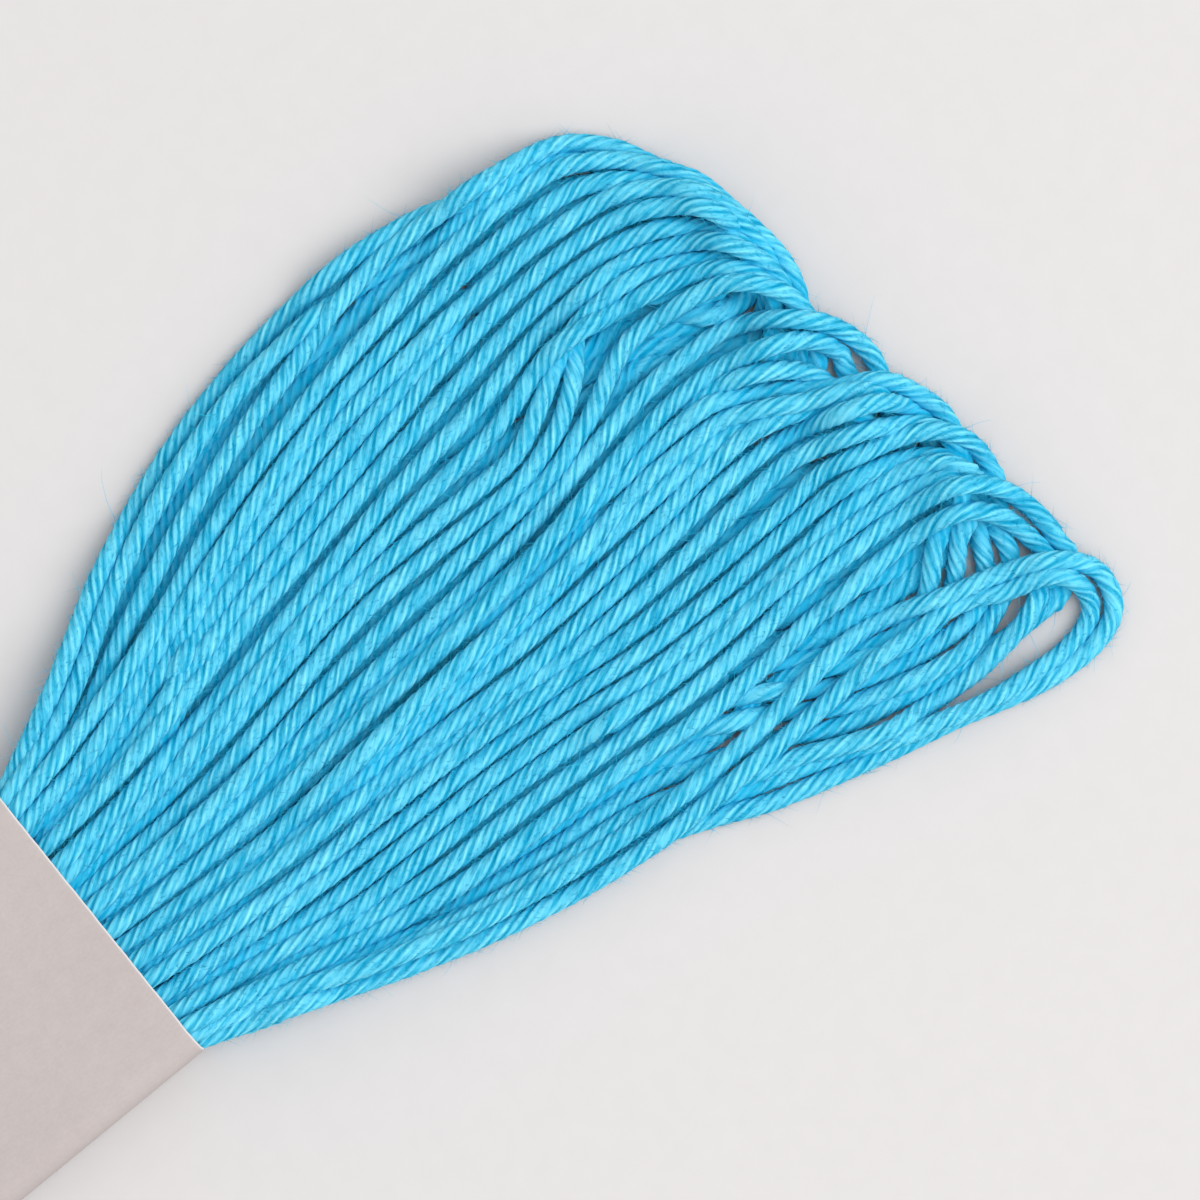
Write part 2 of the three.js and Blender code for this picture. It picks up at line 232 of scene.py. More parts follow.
# second fan: outline (along, left, right) and the line of its ends (across, along)
SECOND_SIDES = np.array([
    (0, 6.4, -6.4), (2, 7.4, -7.8), (4, 8.2, -8.8), (8, 9.8, -10.7), (12, 11.1, -12.3), (16, 12.3, -13.6),
    (20, 13.3, -14.6), (24, 13.9, -15.2), (28, 13.9, -15.5), (31, 13.6, -15.5), (34, 12.9, -15.2)])
SECOND_END = np.array([
    (-13.4, 38.2), (-12.2, 39.3), (-10.4, 39.9), (-7.6, 40.1), (-5, 40.1), (-3.4, 39.9), (-0.8, 39.6),
    (1.8, 39.2), (3.6, 38.8), (6.2, 38.3), (8.4, 37.6), (10.6, 36.4)])


def smooth(t):
    t = np.clip(t, 0, 1)
    return t * t * (3 - 2 * t)


def waves(rng, count, lengths, amount):
    """Smooth noise along a thread: a function of the distance, one column for each of count."""
    k = [(2 * math.pi / (L * rng.uniform(0.8, 1.25, count)), rng.uniform(0, 2 * math.pi, count)) for L in lengths]
    return lambda s: sum(np.sin(np.asarray(s)[:, None] * w + p) for w, p in k) * (amount / len(k))


def catmull(points, parts):
    """Smooth line through unevenly spaced points."""
    P = np.asarray(points, float)
    Q = np.vstack([2 * P[0] - P[1], P, 2 * P[-1] - P[-2]])
    gap = np.maximum(1e-6, np.linalg.norm(np.diff(Q[:, :2], axis=0), axis=1)) ** 0.5
    out = []
    for i in range(1, len(Q) - 2):
        p0, p1, p2, p3 = Q[i - 1:i + 3]
        t0 = 0.0
        t1 = t0 + gap[i - 1]
        t2 = t1 + gap[i]
        t3 = t2 + gap[i + 1]
        t = np.linspace(t1, t2, parts, endpoint=False)[:, None]
        a1 = (t1 - t) / (t1 - t0) * p0 + (t - t0) / (t1 - t0) * p1
        a2 = (t2 - t) / (t2 - t1) * p1 + (t - t1) / (t2 - t1) * p2
        a3 = (t3 - t) / (t3 - t2) * p2 + (t - t2) / (t3 - t2) * p3
        b1 = (t2 - t) / (t2 - t0) * a1 + (t - t0) / (t2 - t0) * a2
        b2 = (t3 - t) / (t3 - t1) * a2 + (t - t1) / (t3 - t1) * a3
        out.append((t2 - t) / (t2 - t1) * b1 + (t - t1) / (t2 - t1) * b2)
    out.append(P[-1:])
    return np.vstack(out)


def evenly(P, step):
    s = np.r_[0, np.cumsum(np.linalg.norm(np.diff(P[:, :3], axis=0), axis=1))]
    t = np.linspace(0, s[-1], max(8, int(round(s[-1] / step))) + 1)
    return np.stack([np.interp(t, s, P[:, k]) for k in range(P.shape[1])], 1)


def lean(points):
    """Fan frame to the frame of the band's edge: x along the band, 0 at its edge, y across."""
    P = np.array(points, float)
    c, s = math.cos(FAN_LEAN), math.sin(FAN_LEAN)
    x, y = P[:, 0].copy(), P[:, 1].copy()
    P[:, 0], P[:, 1] = c * x - s * y, s * x + c * y
    return P


# ---- places of the strands in the band: two rows of outward strands over two rows of returning ones
def row_places(members, z, half):
    n = len(members)
    return {i: (half - 2 * half * j / (n - 1), z) for j, i in enumerate(members)}


HALF_FLAT = BAND_HALF - PAPER - THREAD_TIGHT / 2
HALF_ROUND = HALF_FLAT - 0.24
OUT_PLACE = {**row_places([i for i in range(COUNT) if TURNS[i]["row"] == 0], ROWS[3], HALF_ROUND),
             **row_places([i for i in range(COUNT) if TURNS[i]["row"] == 1], ROWS[2], HALF_FLAT)}
# the ways back lie side by side in the order in which the bends end
for one in TURNS:
    while not one["back"] and one["under"][-1][0] < 800:
        one["under"].pop()
LINED_UP = sorted((i for i in range(COUNT) if TURNS[i]["slots"]),
                  key=lambda i: -(TURNS[i]["back"] or TURNS[i]["under"])[-1][1])
BACK_ORDER = LINED_UP + [27, 30, 28, 29]
BACK_PLACE = {**row_places(BACK_ORDER[0::2], ROWS[1], HALF_FLAT), **row_places(BACK_ORDER[1::2], ROWS[0], HALF_ROUND)}
PIN = -2.5               # from here inwards the strands lie straight in the band
DEEP = -5.0


def lay(route, level, hold, turn_at, height, rest, out_place, back_place):
    """One strand as points (x, y, z, hold). route: (along, across); level: how far each point starts up the
    pile, from rest to height; hold: 1 where it stays as laid out; turn_at: the point that starts the way back."""
    parts = 8
    fine = catmull(np.column_stack([route, level, hold]), parts)
    along = fine[:, 0]
    up, grip = np.clip(fine[:, 2], 0, 1), np.clip(fine[:, 3], 0, 1)
    going = np.arange(len(fine)) <= turn_at * parts
    (y_out, z_out), (y_back, z_back) = out_place, back_place
    z = rest + up * (height(along) - rest)
    near = 1 - smooth(along / 9.0)
    z = z * (1 - near) + np.where(going, z_out, z_back) * near
    P = np.column_stack([lean(np.column_stack([fine[:, :2], z])), grip])
    P = np.vstack([[(DEEP, y_out, z_out, 1), (PIN, y_out, z_out, 1), (PIN / 2, y_out, z_out, 1)], P[P[:, 0] > -0.3],
                   [(PIN / 2, y_back, z_back, 0), (PIN, y_back, z_back, 0), (DEEP, y_back, z_back, 0)]])
    return evenly(P, STEP)


# the bed: where along the fan the ways back are spread out, and the place of the last of them
BED = [(780, -213), (740, -200), (700, -190), (660, -182), (620, -175), (580, -164), (540, -144)]


def bed_places():
    """Places of the ways back under the first fan, spread evenly and then moved under the gaps of the turns above."""
    plain = [i for i in LINED_UP if not TURNS[i]["back"]]
    left = np.array(FIRST_LEFT, float)
    above = []
    for one in TURNS:
        for way in ([(100.0 * k, v) for k, v in enumerate(one["body"])] + one["seen"], one["back"][::-1]):
            if way:
                way = catmull(way, 6)
                above.append(way[:np.argmax(way[:, 0]) + 1])
    places = {i: [] for i in plain}
    for a, end in BED:
        spread = np.linspace(np.interp(a, left[:, 0], left[:, 1]) - 34, end, len(plain))
        tops = np.sort([np.interp(a, way[:, 0], way[:, 1]) for way in above if way[0, 0] <= a <= way[-1, 0]])
        for low, high in zip(tops[:-1] + 9.5, tops[1:] - 9.5):
            middle = (low + high) / 2
            k = np.argmin(np.abs(spread - middle))
            if high > low and abs(spread[k] - middle) < 20:
                spread[k] = np.clip(spread[k], min(high - 11, middle), max(low + 11, middle))
        for i, v in zip(plain, spread):
            places[i].append((a, v))
    return places


def first_fan():
    left, right = np.array(FIRST_LEFT, float), np.array(FIRST_RIGHT, float)
    bed = bed_places()
    strands = []
    for i, one in enumerate(TURNS):
        order = i if one["order"] is None else one["order"]
        body = [(100.0 * k, v) for k, v in enumerate(one["body"])]
        out_way = body + list(one["seen"])
        along = np.array([p[0] for p in out_way])
        level = np.ones(len(out_way))
        if one["low"]:
            level = np.interp(along, *zip(*one["low"]))
        ends_high = level[-1]
        level[-1] *= 0.8
        level = list(level)
        under, back = list(one["under"]), list(one["back"])
        level += [ends_high * f for f in np.interp(np.arange(len(under)), [0, 1, 2], [0.45, 0.15, 0.0])]
        hold = [1.0] * len(out_way)
        if back:
            hold += [1.0 if i >= COUNT - 2 else 0.75] * len(under) + [1.0] * len(back)
        else:
            hold += list(np.linspace(0.95, 0.85, len(under)))
        level += [0.0] * len(back)
        if one["slots"]:
            f = LINED_UP.index(i) / (len(LINED_UP) - 1)
            last_along, last = (back or under)[-1]
            slot = lambda a, margin, end: (1 - f) * (np.interp(a, left[:, 0], left[:, 1]) - margin) + f * end
            way = [(500, slot(500, 34, -206)), (300, slot(300, 28, -188)), (150, slot(150, 24, -150))]
            spread = [p for p in bed.get(i, []) if p[0] < last_along - 25]
            back += spread + way
            level += [0.0] * len(spread + way)
            hold += [0.85] * len(spread) + [0.6, 0.3, 0.3]
        route = np.array(out_way + under + back, float) * UNIT

        def height(a, order=order, row=one["row"]):
            end = smooth((a / UNIT - 620) / 140)
            return 1.2 + 0.3 * (1 - row) * (1 - end) + (0.4 + 0.12 * order) * end

        strands.append(lay(route, level, hold, len(out_way), height, one["rest"], OUT_PLACE[i], BACK_PLACE[i]))
    return strands


def second_fan():
    """Turns of the other end: turn i goes out at the place of i + 1 and comes back at that of i."""
    rng = np.random.RandomState(11)
    strands = []
    n = COUNT - 1
    stations = np.array([0.0, 4, 8, 12, 16, 20, 24, 28])
    lined_up = [i for i in BACK_ORDER if i < n]
    for i in range(n):
        (y_out, z_out), (y_back, z_back) = OUT_PLACE[i + 1], BACK_PLACE[i]
        row = TURNS[i + 1]["row"]
        f = (n - 1 - i + 0.5) / n
        f_back = (n - 1 - lined_up.index(i) + 0.5) / n
        wide = rng.uniform(4.4, 6.4)
        sway = waves(rng, 1, (13, 24), 0.42)
        sunk = rng.rand() < 0.2
        sinks_at = rng.uniform(17, 25)

        def at(a, shift, f):
            left = np.interp(a, SECOND_SIDES[:, 0], SECOND_SIDES[:, 1]) - THREAD / 2
            right = np.interp(a, SECOND_SIDES[:, 0], SECOND_SIDES[:, 2]) + THREAD / 2
            reserve = 5.4 * smooth((a - 2) / 24)
            return left - shift * reserve - f * (left - right - reserve)

        route, level, hold = [], [], []
        for a in stations:
            w = sway([a])[0, 0] * smooth(a / 18)
            place = at(a, 0, f)
            route.append((a, np.clip(place + w, place - 0.5, place + (0.1 if f < 0.05 else 0.5))))
            level.append(1 - smooth((a - sinks_at) / 3) if sunk else 1.0)
            hold.append(1.0)
        c_out = route[-1][1] + at(30.0, 0, f) - at(28.0, 0, f)
        c_back = c_out - wide if f < 0.93 else at(30.0, 1, f)
        middle = (c_out + c_back) / 2
        reach = np.interp(middle - 0.8, SECOND_END[:, 0], SECOND_END[:, 1]) - THREAD / 2
        reach -= rng.uniform(1.0, 3.0) if sunk else rng.uniform(0, 0.9)
        deep = rng.uniform(4.0, 5.4)
        high = level[-1]
        for angle in np.radians([78, 50, 22, -6, -34, -60]):
            slide = (1 - math.sin(angle)) / 2
            route.append((reach - deep + deep * math.cos(angle) ** 0.8, middle + (c_out - c_back) / 2 * math.sin(angle) - 0.5 * math.cos(angle)))
            level.append(high * (1 - smooth((slide - 0.4) / 0.5)))
            hold.append(1.0 if slide < 0.6 else 0.25)
        turn_at = len(route)
        route.append((reach - deep - 1.6, c_back))
        for a in (20, 12, 6):
            blend = smooth((a - 8) / 24)
            route.append((a, at(a, 1, f_back) * (1 - blend) + c_back * blend))
        level += [0.0] * 4
        hold += [0.12] * 4
        order = n - 1 - i

        def height(a, order=order, row=row):
            end = smooth((a - 25) / 6)
            return 1.2 + 0.3 * (1 - row) * (1 - end) + (0.4 + 0.12 * order) * end

        strands.append(lay(np.array(route), level, hold, turn_at, height, LOW, (-y_out, z_out), (-y_back, z_back)))
    return strands


# ---- settling: the strands sink onto each other and the surface, and push each other aside
def close_pairs(X, cut):
    cell = np.floor(X / cut).astype(np.int64)
    cell -= cell.min(0) - 1
    dim = cell.max(0) + 2
    key = (cell[:, 0] * dim[1] + cell[:, 1]) * dim[2] + cell[:, 2]
    order = np.argsort(key, kind="stable")
    keys = key[order]
    every = np.arange(len(X))
    I, J = [], []
    for dx in (0, 1):
        for dy in (-1, 0, 1):
            for dz in (-1, 0, 1):
                jump = (dx * dim[1] + dy) * dim[2] + dz
                if jump < 0:
                    continue
                low = np.searchsorted(keys, key + jump, "left")
                count = np.searchsorted(keys, key + jump, "right") - low
                total = count.sum()
                if not total:
                    continue
                i = np.repeat(every, count)
                j = order[np.repeat(low - np.r_[0, np.cumsum(count)[:-1]], count) + np.arange(total)]
                if jump == 0:
                    i, j = i[i < j], j[i < j]
                I.append(i)
                J.append(j)
    I, J = np.concatenate(I), np.concatenate(J)
    near = ((X[I] - X[J]) ** 2).sum(1) < cut * cut
    return I[near], J[near]


def thickness(x):
    f = smooth((x + 1.0) / 8.0)
    return THREAD_TIGHT * (1 - f) + THREAD * f


def settle(strands, left, right, rounds=280):
    """Points with hold 1 keep their place and move only up and down; the rest give way sideways too."""
    sizes = [len(s) for s in strands]
    X = np.vstack(strands)
    hold = X[:, 3].copy()
    X = X[:, :3].copy()
    start = X[:, :2].copy()
    n = len(X)
    fixed = hold > 0.96
    loose = np.where(fixed, 0.0, 1 - 0.7 * hold)
    keep = np.where(fixed, 0.0, 0.10 * hold)[:, None]
    which = np.repeat(np.arange(len(sizes)), sizes)
    place = np.concatenate([np.arange(k) for k in sizes])
    link = np.arange(n - 1)[which[:-1] == which[1:]]
    inner = np.arange(2, n - 2)[which[:-4] == which[4:]]
    length = np.linalg.norm(X[link + 1] - X[link], axis=1)
    moves = (X[:, 0] >= PIN + 0.05).astype(float)
    freedom = np.column_stack([loose, loose, np.ones(n)]) * moves[:, None]
    give = np.where(fixed, 0.0, 1.0) * moves
    for step in range(rounds):
        if step % 8 == 0:
            r = thickness(X[:, 0]) / 2
            I, J = close_pairs(X, THREAD + 0.25)
            apart = (which[I] != which[J]) | (np.abs(place[I] - place[J]) > 7)
            I, J = I[apart], J[apart]
            both = fixed[I] & fixed[J]
            part_i = 2 * loose[I] / np.maximum(1e-9, loose[I] + loose[J])
            reach = (r[I] + r[J]) * np.where(both, 0.72, 0.92)
        X[:, 2] -= (0.02 if step < rounds * 0.8 else 0.01) * moves
        X[:, :2] += keep * (start - X[:, :2]) * moves[:, None]
        stiff = -(X[inner - 2] - 4 * X[inner - 1] + 6 * X[inner] - 4 * X[inner + 1] + X[inner + 2])
        X[inner] += stiff * (0.06, 0.06, 0.09) * freedom[inner]
        for again in range(2):
            d = X[J] - X[I]
            flat = d[:, 0] ** 2 + d[:, 1] ** 2
            gap = np.sqrt(flat + d[:, 2] ** 2) + 1e-9
            hit = gap < reach
            i, j, d, gap = I[hit], J[hit], d[hit], gap[hit]
            deep = reach[hit] - gap
            push = d / gap[:, None] * (deep / 2)[:, None]
            push[np.abs(d[:, 2]) > 0.4 * THREAD, :2] *= 0.35
            need = np.sqrt(np.maximum(reach[hit] ** 2 - flat[hit], 0)) - np.abs(d[:, 2])
            push[:, 2] = np.where(both[hit], np.where(d[:, 2] >= 0, 0.5, -0.5) * need, push[:, 2])
            part = part_i[hit]
            total = np.stack([np.bincount(j, push[:, a] * (2 - part), n) - np.bincount(i, push[:, a] * part, n) for a in (0, 1)]
                             + [np.bincount(j, push[:, 2], n) - np.bincount(i, push[:, 2], n)], 1)
            count = np.bincount(i, minlength=n) + np.bincount(j, minlength=n)
            total /= np.maximum(1, count * 0.5)[:, None]
            total[:, :2] *= give[:, None]
            total[:, 2] *= moves
            X += total
            X[:, 2] = np.maximum(X[:, 2], r)
            open_ = (X[:, 0] > 0) & (X[:, 0] < 34) & ~fixed
            x = X[open_, 0]
            X[open_, 1] = np.clip(X[open_, 1], np.interp(x, right[:, 0], right[:, 1]) + r[open_] + 0.25,
                                  np.interp(x, left[:, 0], left[:, 1]) - r[open_] - 0.25)
            held = X[:, 0] < 0
            X[held, 1] = np.clip(X[held, 1], -BAND_HALF + PAPER + r[held], BAND_HALF - PAPER - r[held])
            X[held, 2] = np.clip(X[held, 2], 2 * PAPER + r[held], ROOM_TOP - r[held])
        for again in range(2):
            d = X[link + 1] - X[link]
            gap = np.sqrt((d ** 2).sum(1)) + 1e-9
            pull = d / gap[:, None] * ((gap - length) * 0.25)[:, None]
            total = np.zeros_like(X)
            total[link] += pull
            total[link + 1] -= pull
            X += total * give[:, None]
    cuts = np.cumsum(sizes)[:-1]
    out = []
    for P, grip in zip(np.split(X, cuts), np.split(hold, cuts)):
        for again in range(2):
            P[1:-1] = 0.25 * P[:-2] + 0.5 * P[1:-1] + 0.25 * P[2:]
        for again in range(3):
            P[1:-1, 2] = 0.25 * P[:-2, 2] + 0.5 * P[1:-1, 2] + 0.25 * P[2:, 2]
        P[:, 2] = np.maximum(P[:, 2], thickness(P[:, 0]) / 2)
        out.append((P, grip))
    return out


def curve_points(P, spacing):
    """Points on a smooth curve through P, with their own spacing for each stretch between its points."""
    Q = np.vstack([2 * P[0] - P[1], P, 2 * P[-1] - P[-2]])
    n = len(P) - 1
    run = np.r_[0, np.cumsum(np.linalg.norm(np.diff(P[:, :3], axis=0), axis=1) / spacing)]
    t = np.interp(np.linspace(0, run[-1], max(8, int(round(run[-1]))) + 1), run, np.arange(n + 1))
    k = np.minimum(t.astype(int), n - 1)
    f = (t - k)[:, None]
    p0, p1, p2, p3 = Q[k], Q[k + 1], Q[k + 2], Q[k + 3]
    return 0.5 * (2 * p1 + (p2 - p0) * f + (2 * p0 - 5 * p1 + 4 * p2 - p3) * f ** 2
                  + (3 * p1 - p0 - 3 * p2 + p3) * f ** 3)


band_low, band_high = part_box("band")
BAND_MIDDLE = np.array([(band_low[0] + band_high[0]) / 2, (band_low[1] + band_high[1]) / 2, 0.0]) / MM


def to_skein(P, side):
    out = P.copy()
    out[:, 0] = side * (BAND_LENGTH / 2 + P[:, 0])
    out[:, 1] = side * P[:, 1]
    return out + BAND_MIDDLE


# ---- the tubes
def tube(P, grip, rng, ends=(DEEP, DEEP)):
    """Rings of a twisted tube along a settled strand, with its straight runs inside the band.
    Returns the ring points, the distance along and the frame; rings lie closer where it bends or shows."""
    lead = np.arange(-BAND_LENGTH / 2 if ends[0] == DEEP else ends[0], DEEP - 1, 3.5)
    tail = np.arange(-BAND_LENGTH / 2 if ends[1] == DEEP else ends[1], DEEP - 1, 3.5)
    d = np.diff(P, axis=0)
    d /= np.linalg.norm(d, axis=1)[:, None]
    bend = np.r_[0, np.arccos(np.clip((d[1:] * d[:-1]).sum(1), -1, 1)) / STEP]
    bend = np.convolve(np.r_[bend[0], bend, bend[-1]], [0.25, 0.5, 0.25], "valid")
    spacing = np.where(grip[:-1] > 0.9, RING_OUT, RING_BACK) / (1 + 0.55 * np.minimum(bend, 1.6))
    straight = lambda x, k: np.column_stack([x, np.tile([P[k, 1], P[k, 2], 1.0], (len(x), 1))])
    line = np.vstack([straight(lead, 0), curve_points(np.column_stack([P, grip]), spacing), straight(tail, -1)[::-1]])
    pressed = (1 - smooth((line[:, 3] - 0.86) / 0.1)) * smooth(line[:, 0] / 4)
    line = np.ascontiguousarray(line[:, :3])
    s = np.r_[0, np.cumsum(np.linalg.norm(np.diff(line, axis=0), axis=1))]
    t = np.gradient(line, s, axis=0)
    t /= np.linalg.norm(t, axis=1)[:, None]
    side = np.cross([0.0, 0.0, 1.0], t)
    side /= np.linalg.norm(side, axis=1)[:, None]
    up = np.cross(t, side)
    turning = np.where(np.maximum(line[:-1, 0], line[1:, 0]) < DEEP + 0.01, 0.0, np.diff(s))
    rate = 1 + waves(rng, 1, (9, 21, 47), 0.2)(s)[:, 0]
    twist = -2 * math.pi / TWIST * np.r_[0, np.cumsum(turning * rate[1:])] + rng.uniform(0, 6.28)
    angle = np.arange(PLIES * PLY_STEPS) * (2 * math.pi / (PLIES * PLY_STEPS))
    rise = np.tile(PLY_PROFILE, PLIES)
    ply = np.repeat(waves(rng, PLIES, (3, 7, 17), 0.11)(s), PLY_STEPS, axis=1)
    thick = thickness(line[:, 0]) / 2 * (1 + waves(rng, 1, (4, 9, 20), 0.035)(s)[:, 0])
    r = thick[:, None] * (rise + ply * (rise - 0.7))
    a = angle[None, :] + twist[:, None]
    wide, low = (1 + 0.30 * pressed)[:, None], (1 - 0.15 * pressed)[:, None]
    ring = line[:, None, :] + r[..., None] * ((np.cos(a) * wide)[..., None] * side[:, None, :] + (np.sin(a) * low)[..., None] * up[:, None, :])
    ring[..., 2] = np.maximum(ring[..., 2], 0.004)
    return ring, s, (line, side, up, t, thick)


CELL = 0.08


def pile_height(tubes):
    """Height of the pile over a grid of cells, and the same averaged over about the width of a thread."""
    lines = np.vstack([evenly(np.column_stack([t[2][0], t[2][4]]), CELL) for t in tubes])
    origin = lines[:, :2].min(0) - 2
    shape = tuple(((lines[:, :2].max(0) + 2 - origin) / CELL).astype(int) + 1)
    top = np.zeros(shape)
    for dx in range(-5, 6):
        for dy in range(-5, 6):
            rest = lines[:, 3] ** 2 - (dx * dx + dy * dy) * CELL * CELL
            ok = rest > 0
            cell = ((lines[ok, :2] - origin) / CELL).round().astype(int) + (dx, dy)
            np.maximum.at(top, tuple(cell.T), lines[ok, 2] + np.sqrt(rest[ok]))
    mean = top
    for again in range(3):
        for axis in (0, 1):
            total = np.cumsum(np.pad(mean, [(5, 4) if a == axis else (0, 0) for a in (0, 1)], mode="edge"), axis=axis)
            mean = (np.take(total, range(9, total.shape[axis]), axis) - np.take(total, range(total.shape[axis] - 9), axis)) / 9
    pad = [(0, a - b) for a, b in zip(top.shape, mean.shape)]
    return origin, top, np.pad(mean, pad, mode="edge")


def below(points, pile):
    """How far points lie below the pile around them (averaged), and below its top there."""
    origin, top, mean = pile
    cell = ((points[..., :2] - origin) / CELL).round().astype(int)
    x, y = np.clip(cell[..., 0], 0, top.shape[0] - 1), np.clip(cell[..., 1], 0, top.shape[1] - 1)
    return mean[x, y] - points[..., 2], top[x, y] - points[..., 2]


def mesh_object(name, verts, loops, starts, totals, uvs=(), values=()):
    mesh = bpy.data.meshes.new(name)
    mesh.vertices.add(len(verts))
    mesh.vertices.foreach_set("co", np.ascontiguousarray(verts * MM, dtype=np.float32).ravel())
    mesh.loops.add(len(loops))
    mesh.loops.foreach_set("vertex_index", loops.astype(np.int32))
    mesh.polygons.add(len(starts))
    mesh.polygons.foreach_set("loop_start", starts.astype(np.int32))
    mesh.polygons.foreach_set("loop_total", totals.astype(np.int32))
    for uv_name, uv in uvs:
        layer = mesh.uv_layers.new(name=uv_name)
        layer.data.foreach_set("uv", np.ascontiguousarray(uv, dtype=np.float32).ravel())
    for value_name, value in values:
        layer = mesh.attributes.new(value_name, "FLOAT", "POINT")
        layer.data.foreach_set("value", np.ascontiguousarray(value, dtype=np.float32))
    mesh.polygons.foreach_set("use_smooth", np.ones(len(starts), dtype=bool))
    mesh.update(calc_edges=True)
    mesh.validate()
    piece = bpy.data.objects.new(name, mesh)
    bpy.context.scene.collection.objects.link(piece)
    return piece


STRIP = 20               # rings in each strip of the baking map


def thread_piece(name, tubes, offset, pile):
    """One mesh of several tubes, each closed with a small fan of faces at both ends."""
    M = PLIES * PLY_STEPS
    verts, quads, tris, strand_uv, deep = [], [], [], [], []
    base = strip = 0
    quad_cell = []
    for ring, s, _ in tubes:
        n = len(ring)
        verts += [ring.reshape(-1, 3), ring[0].mean(0)[None], ring[-1].mean(0)[None]]
        down = below(ring, pile)[0]
        # 1 between and below the strands: painted shade there, the colour turned towards the deep, pure blue that light
        #                                  takes after passing through the fibres
        deep += [smooth((down + 0.06) / 0.42).ravel(), [1.0, 1.0]]
        k = np.arange(n - 1)[:, None]
        j = np.arange(M)[None, :]
        at = lambda kk, jj: base + kk * M + jj % M
        quads.append(np.stack([at(k, j), at(k, j + 1), at(k + 1, j + 1), at(k + 1, j)], -1).reshape(-1, 4))
        s0, s1 = s[:-1, None] + offset, s[1:, None] + offset
        v0 = np.broadcast_to(j / M, (n - 1, M))
        v1 = v0 + 1 / M
        S0, S1 = np.broadcast_to(s0, v0.shape), np.broadcast_to(s1, v0.shape)
        strand_uv.append(np.stack([np.stack([S0, v0], -1), np.stack([S0, v1], -1), np.stack([S1, v1], -1), np.stack([S1, v0], -1)], -2).reshape(-1, 4, 2))
        cell = strip + np.arange(n - 1) // STRIP
        local = (np.arange(n - 1) % STRIP) / STRIP
        quad_cell.append((np.repeat(cell, M), np.repeat(local, M), np.tile(np.arange(M) / M, n - 1)))
        strip += (n - 2) // STRIP + 1
        first, last = base + n * M, base + n * M + 1
        jj = np.arange(M)
        tris.append(np.stack([np.full(M, first), base + (jj + 1) % M, base + jj], 1))
        tris.append(np.stack([np.full(M, last), base + (n - 1) * M + jj, base + (n - 1) * M + (jj + 1) % M], 1))
        base += n * M + 2
        offset += s[-1]
    columns = max(1, int(round(math.sqrt(strip * 2.7 / (STRIP * RING_OUT)))))
    rows = -(-(strip + 1) // columns)
    cell, local, round_ = (np.concatenate(x) for x in zip(*quad_cell))
    column, row = cell % columns, cell // columns
    x0 = (column + 0.02 + 0.96 * local) / columns
    x1 = x0 + 0.96 / STRIP / columns
    y0 = (row + 0.06 + 0.88 * round_) / rows
    y1 = y0 + 0.88 / M / rows
    bake = np.stack([np.stack([x0, y0], 1), np.stack([x0, y1], 1), np.stack([x1, y1], 1), np.stack([x1, y0], 1)], 1)
    quads, tris = np.concatenate(quads), np.concatenate(tris)
    corner = np.array([(strip % columns + 0.1) / columns, (strip // columns + 0.1) / rows])
    small = np.array([[0, 0], [0.01, 0], [0, 0.01]])
    cap_bake = np.broadcast_to(corner + small, (len(tris), 3, 2))
    loops = np.concatenate([quads.ravel(), tris.ravel()])
    starts = np.concatenate([np.arange(len(quads)) * 4, len(quads) * 4 + np.arange(len(tris)) * 3])
    totals = np.concatenate([np.full(len(quads), 4), np.full(len(tris), 3)])
    uv_bake = np.concatenate([bake.reshape(-1, 2), cap_bake.reshape(-1, 2)])
    uv_strand = np.concatenate([np.concatenate(strand_uv).reshape(-1, 2), np.zeros((len(tris) * 3, 2))])
    piece = mesh_object(name, np.concatenate(verts), loops, starts, totals,
                        uvs=[("OFBake", uv_bake), ("Strand", uv_strand)], values=[("deep", np.concatenate(deep))])
    return piece, offset


